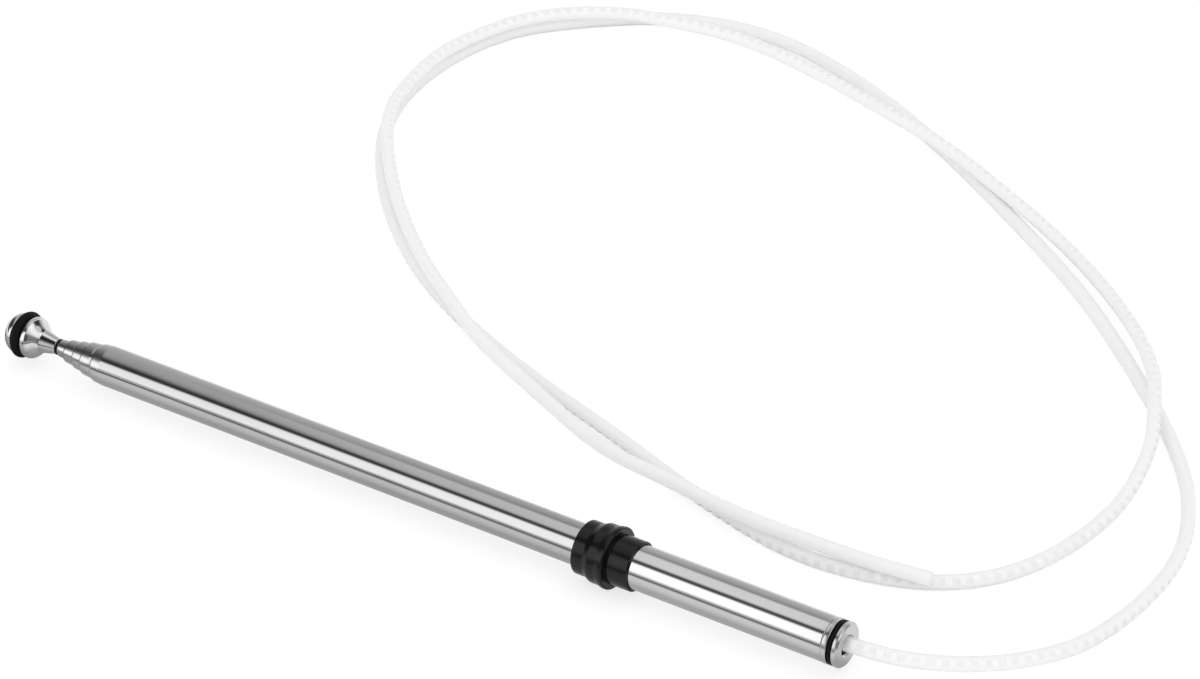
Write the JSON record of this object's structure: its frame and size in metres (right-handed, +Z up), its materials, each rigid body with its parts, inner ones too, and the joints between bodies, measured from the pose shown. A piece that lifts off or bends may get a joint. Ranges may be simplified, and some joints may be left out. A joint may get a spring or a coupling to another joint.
{
  "type": "car mast aerial",
  "caption": "Telescopic car aerial mast of nested chrome tubes with a capped tip, a black guide collar and a sealed foot plug, driven by a long toothed nylon cord.",
  "frame": {"origin": "on the floor under the middle of the retracted mast, which lies on its collar's bead", "axes": "+X along the mast from its tip to its foot, +Y towards the cord's loop, +Z up"},
  "size_m": [0.2533, 0.2198, 0.0135],
  "materials": {
    "tube_chrome": "polished",
    "sleeve_chrome": "polished",
    "cap_chrome": "polished",
    "plug_nickel": "satin",
    "rod_steel": "polished",
    "ferrule_steel": "satin",
    "spring_bronze": "satin",
    "seal_rubber": "satin",
    "bumper_plastic": "satin",
    "collar_plastic": "satin",
    "cord_nylon": "satin"
  },
  "bodies": {
    "mast_base": {"main_tube": "tube_chrome", "foot_sleeve": "sleeve_chrome", "base_plug": "plug_nickel", "base_o_ring": "seal_rubber", "rack_cord": "cord_nylon"},
    "section_1": {"section_tube_1": "tube_chrome", "contact_spring_1": "spring_bronze"},
    "section_2": {"section_tube_2": "tube_chrome", "contact_spring_2": "spring_bronze"},
    "section_3": {"section_tube_3": "tube_chrome", "contact_spring_3": "spring_bronze"},
    "section_4": {"section_tube_4": "tube_chrome", "contact_spring_4": "spring_bronze"},
    "tip": {"tip_rod": "rod_steel", "tip_cap": "cap_chrome", "tip_o_ring": "seal_rubber", "rod_bumper": "bumper_plastic", "rod_stop_bush": "spring_bronze", "cord_ferrule": "ferrule_steel", "cord_tail": "cord_nylon"},
    "collar": {"guide_collar": "collar_plastic"}
  },
  "joints": [
    {"name": "section_1_slide", "type": "slide", "parent": "mast_base", "child": "section_1", "axis": [-1, 0, 0], "range_m": [0, 0.1608]},
    {"name": "section_2_slide", "type": "slide", "parent": "section_1", "child": "section_2", "axis": [-1, 0, 0], "range_m": [0, 0.1642]},
    {"name": "section_3_slide", "type": "slide", "parent": "section_2", "child": "section_3", "axis": [-1, 0, 0], "range_m": [0, 0.1667]},
    {"name": "section_4_slide", "type": "slide", "parent": "section_3", "child": "section_4", "axis": [-1, 0, 0], "range_m": [0, 0.1696]},
    {"name": "tip_slide", "type": "slide", "parent": "section_4", "child": "tip", "axis": [-1, 0, 0], "range_m": [0, 0.1587]},
    {"name": "collar_slide", "type": "slide", "parent": "mast_base", "child": "collar", "axis": [-1, 0, 0], "range_m": [0, 0.12]}
  ]
}
